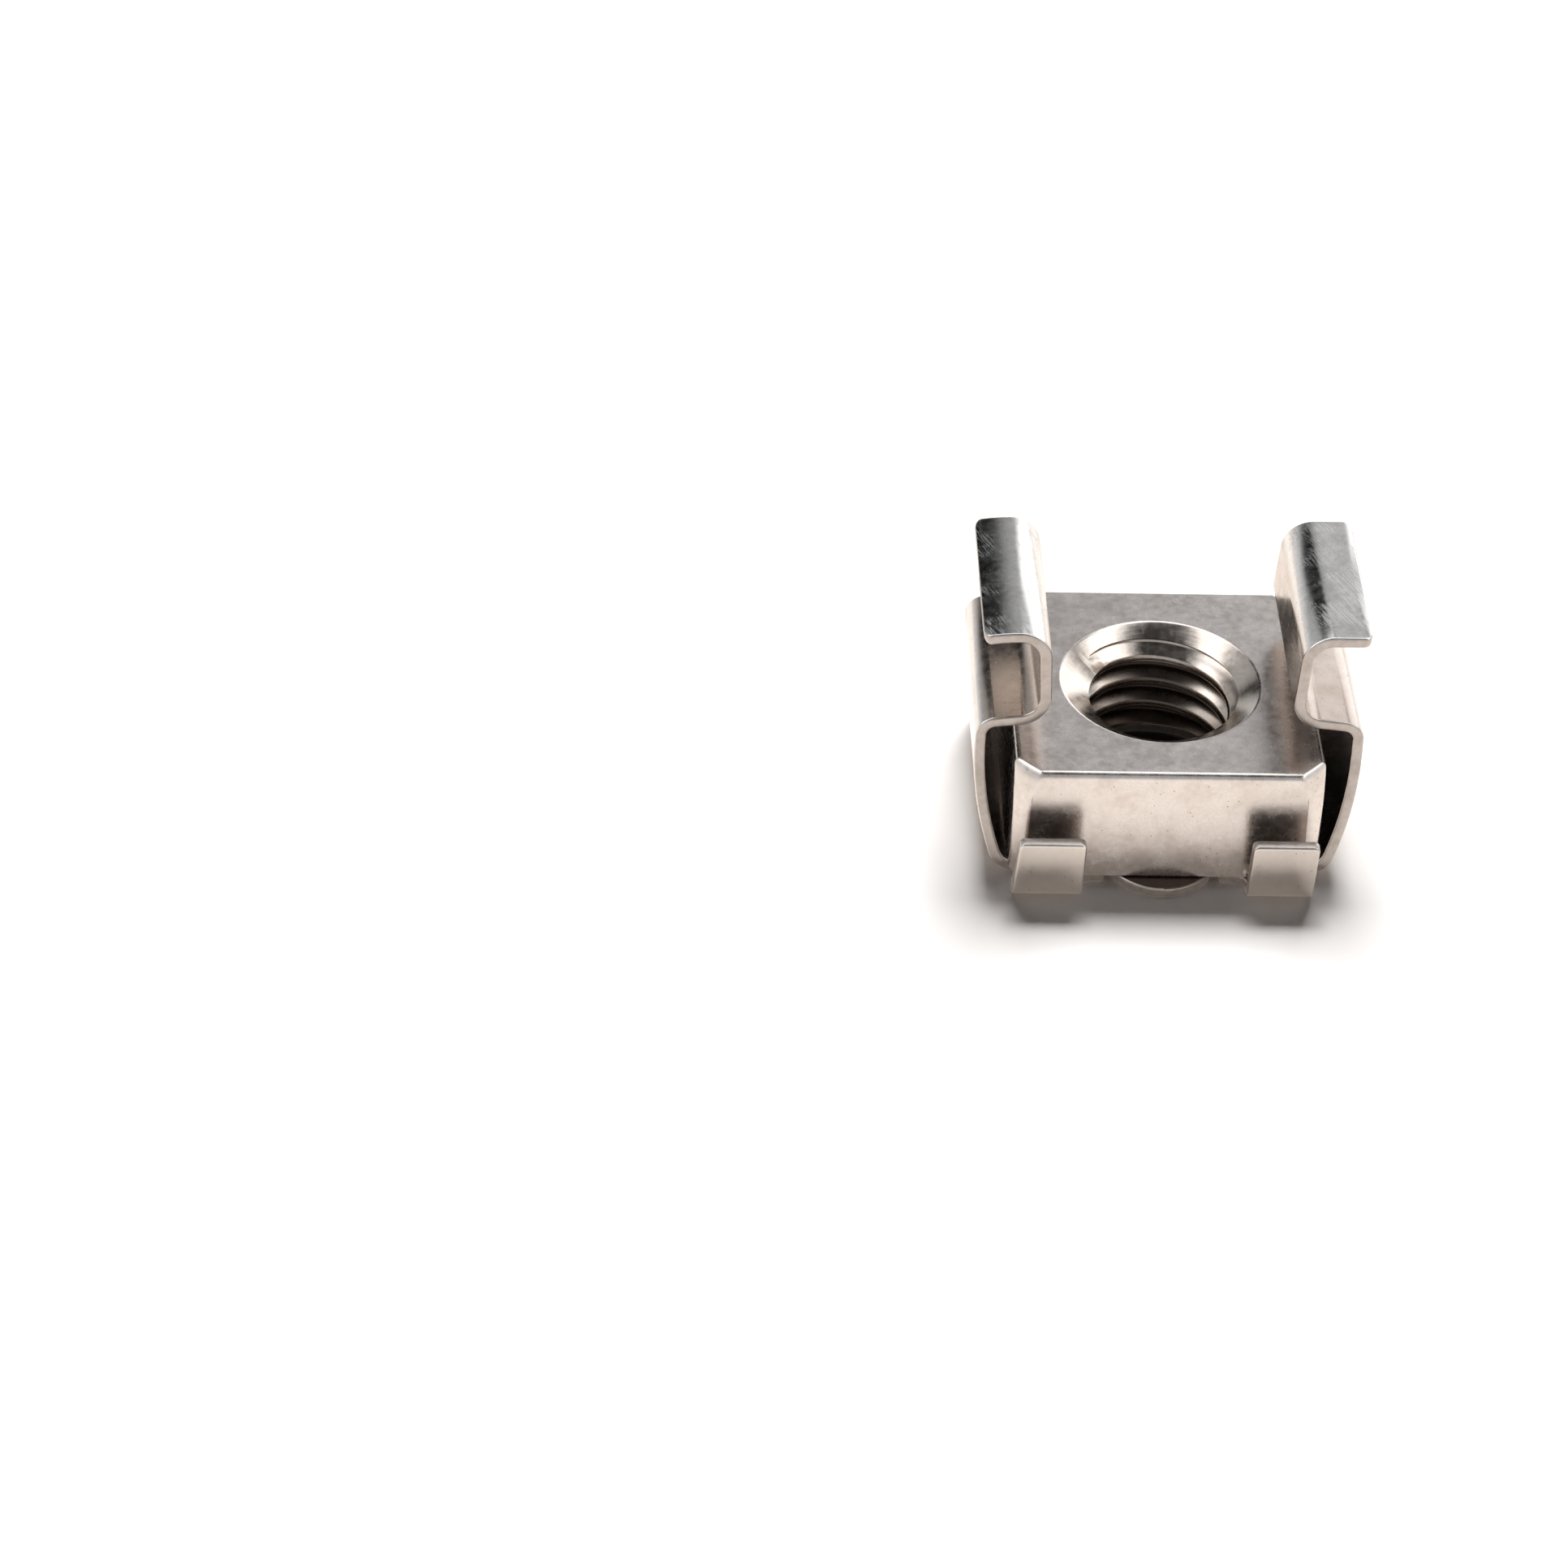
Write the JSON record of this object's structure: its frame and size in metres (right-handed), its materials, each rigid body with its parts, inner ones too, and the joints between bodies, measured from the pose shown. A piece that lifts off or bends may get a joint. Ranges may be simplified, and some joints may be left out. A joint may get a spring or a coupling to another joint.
{
  "type": "rack cage nut",
  "caption": "Cage nut: a square nut with an M6 thread, held loosely in a folded spring steel cage whose hooked wings snap into a square rack hole.",
  "frame": {"origin": "on the thread's axis, at the underside of the cage", "axes": "+Z along the thread's axis, towards the hooks and the side that the screw comes from; +X from wing to wing; +Y from the tabs at the front to the tabs at the rear"},
  "size_m": [0.0134, 0.013, 0.0094],
  "materials": {
    "spring_steel": "bright nickel plate over satin spring steel, cut edges brighter, faint handling scratches",
    "nut_steel": "nickel plate, matte and finely mottled on the sides, glossy in the countersink and thread"
  },
  "bodies": {
    "root": {"spring_cage": "spring_steel", "square_nut": "nut_steel"}
  },
  "joints": []
}
